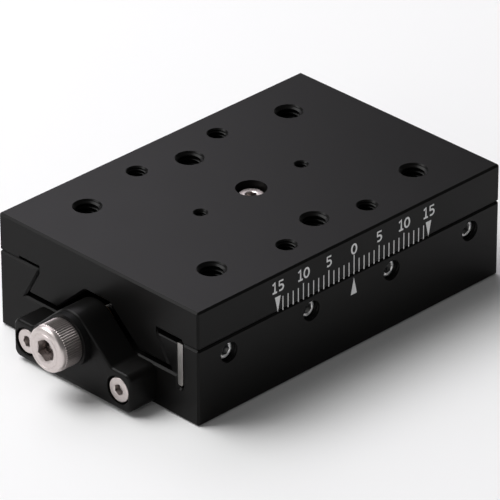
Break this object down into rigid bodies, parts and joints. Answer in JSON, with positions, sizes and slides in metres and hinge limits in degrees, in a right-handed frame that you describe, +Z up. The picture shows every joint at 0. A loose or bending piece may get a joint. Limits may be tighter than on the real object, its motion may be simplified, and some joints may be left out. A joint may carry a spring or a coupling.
{
  "type": "linear translation stage",
  "caption": "Compact manual linear stage: a table on a dovetail slide, moved by a knurled lead screw with a hex socket, with tapped holes on top and a millimetre scale on its side.",
  "frame": {"origin": "centre of the base's bottom face", "axes": "+X along the travel, away from the drive knob; +Z up, out of the table's top face; the gib's set screws and the scale are on the -Y side"},
  "size_m": [0.07, 0.04, 0.018],
  "materials": {
    "black_anodised": "satin black anodised, fine machined surface",
    "stainless_steel": "turned and satin",
    "spring_steel": "blackened",
    "brass": "machined",
    "bronze": "plain bearing bronze, oiled",
    "black_plastic": "matte acetal"
  },
  "bodies": {
    "base": {"base": "black_anodised", "gib": "black_anodised", "gib_strip": "stainless_steel", "gib_screw_1": "stainless_steel", "gib_screw_2": "stainless_steel", "gib_screw_3": "stainless_steel", "gib_screw_4": "stainless_steel", "drive_bracket": "black_anodised", "bracket_screw_left": "stainless_steel", "bracket_screw_right": "stainless_steel", "bracket_bush": "bronze"},
    "carriage": {"carriage": "black_anodised", "lead_nut": "brass", "nut_screw": "stainless_steel"},
    "drive": {"lead_screw": "stainless_steel", "thrust_washer_front": "black_plastic", "thrust_washer_rear": "bronze", "retaining_clip": "spring_steel", "end_washer": "stainless_steel", "end_clip": "spring_steel"}
  },
  "joints": [
    {"name": "screw_turn", "type": "hinge", "parent": "base", "child": "drive", "pos_m": [0, 0, 0.008], "axis": [1, 0, 0], "range_deg": [-10800, 10800]},
    {"name": "carriage_slide", "type": "slide", "parent": "base", "child": "carriage", "axis": [1, 0, 0], "range_m": [-0.015, 0.015]}
  ],
  "couplings": [
    {"joint": "screw_turn", "follows": "carriage_slide", "rad_per_m": -12566}
  ]
}
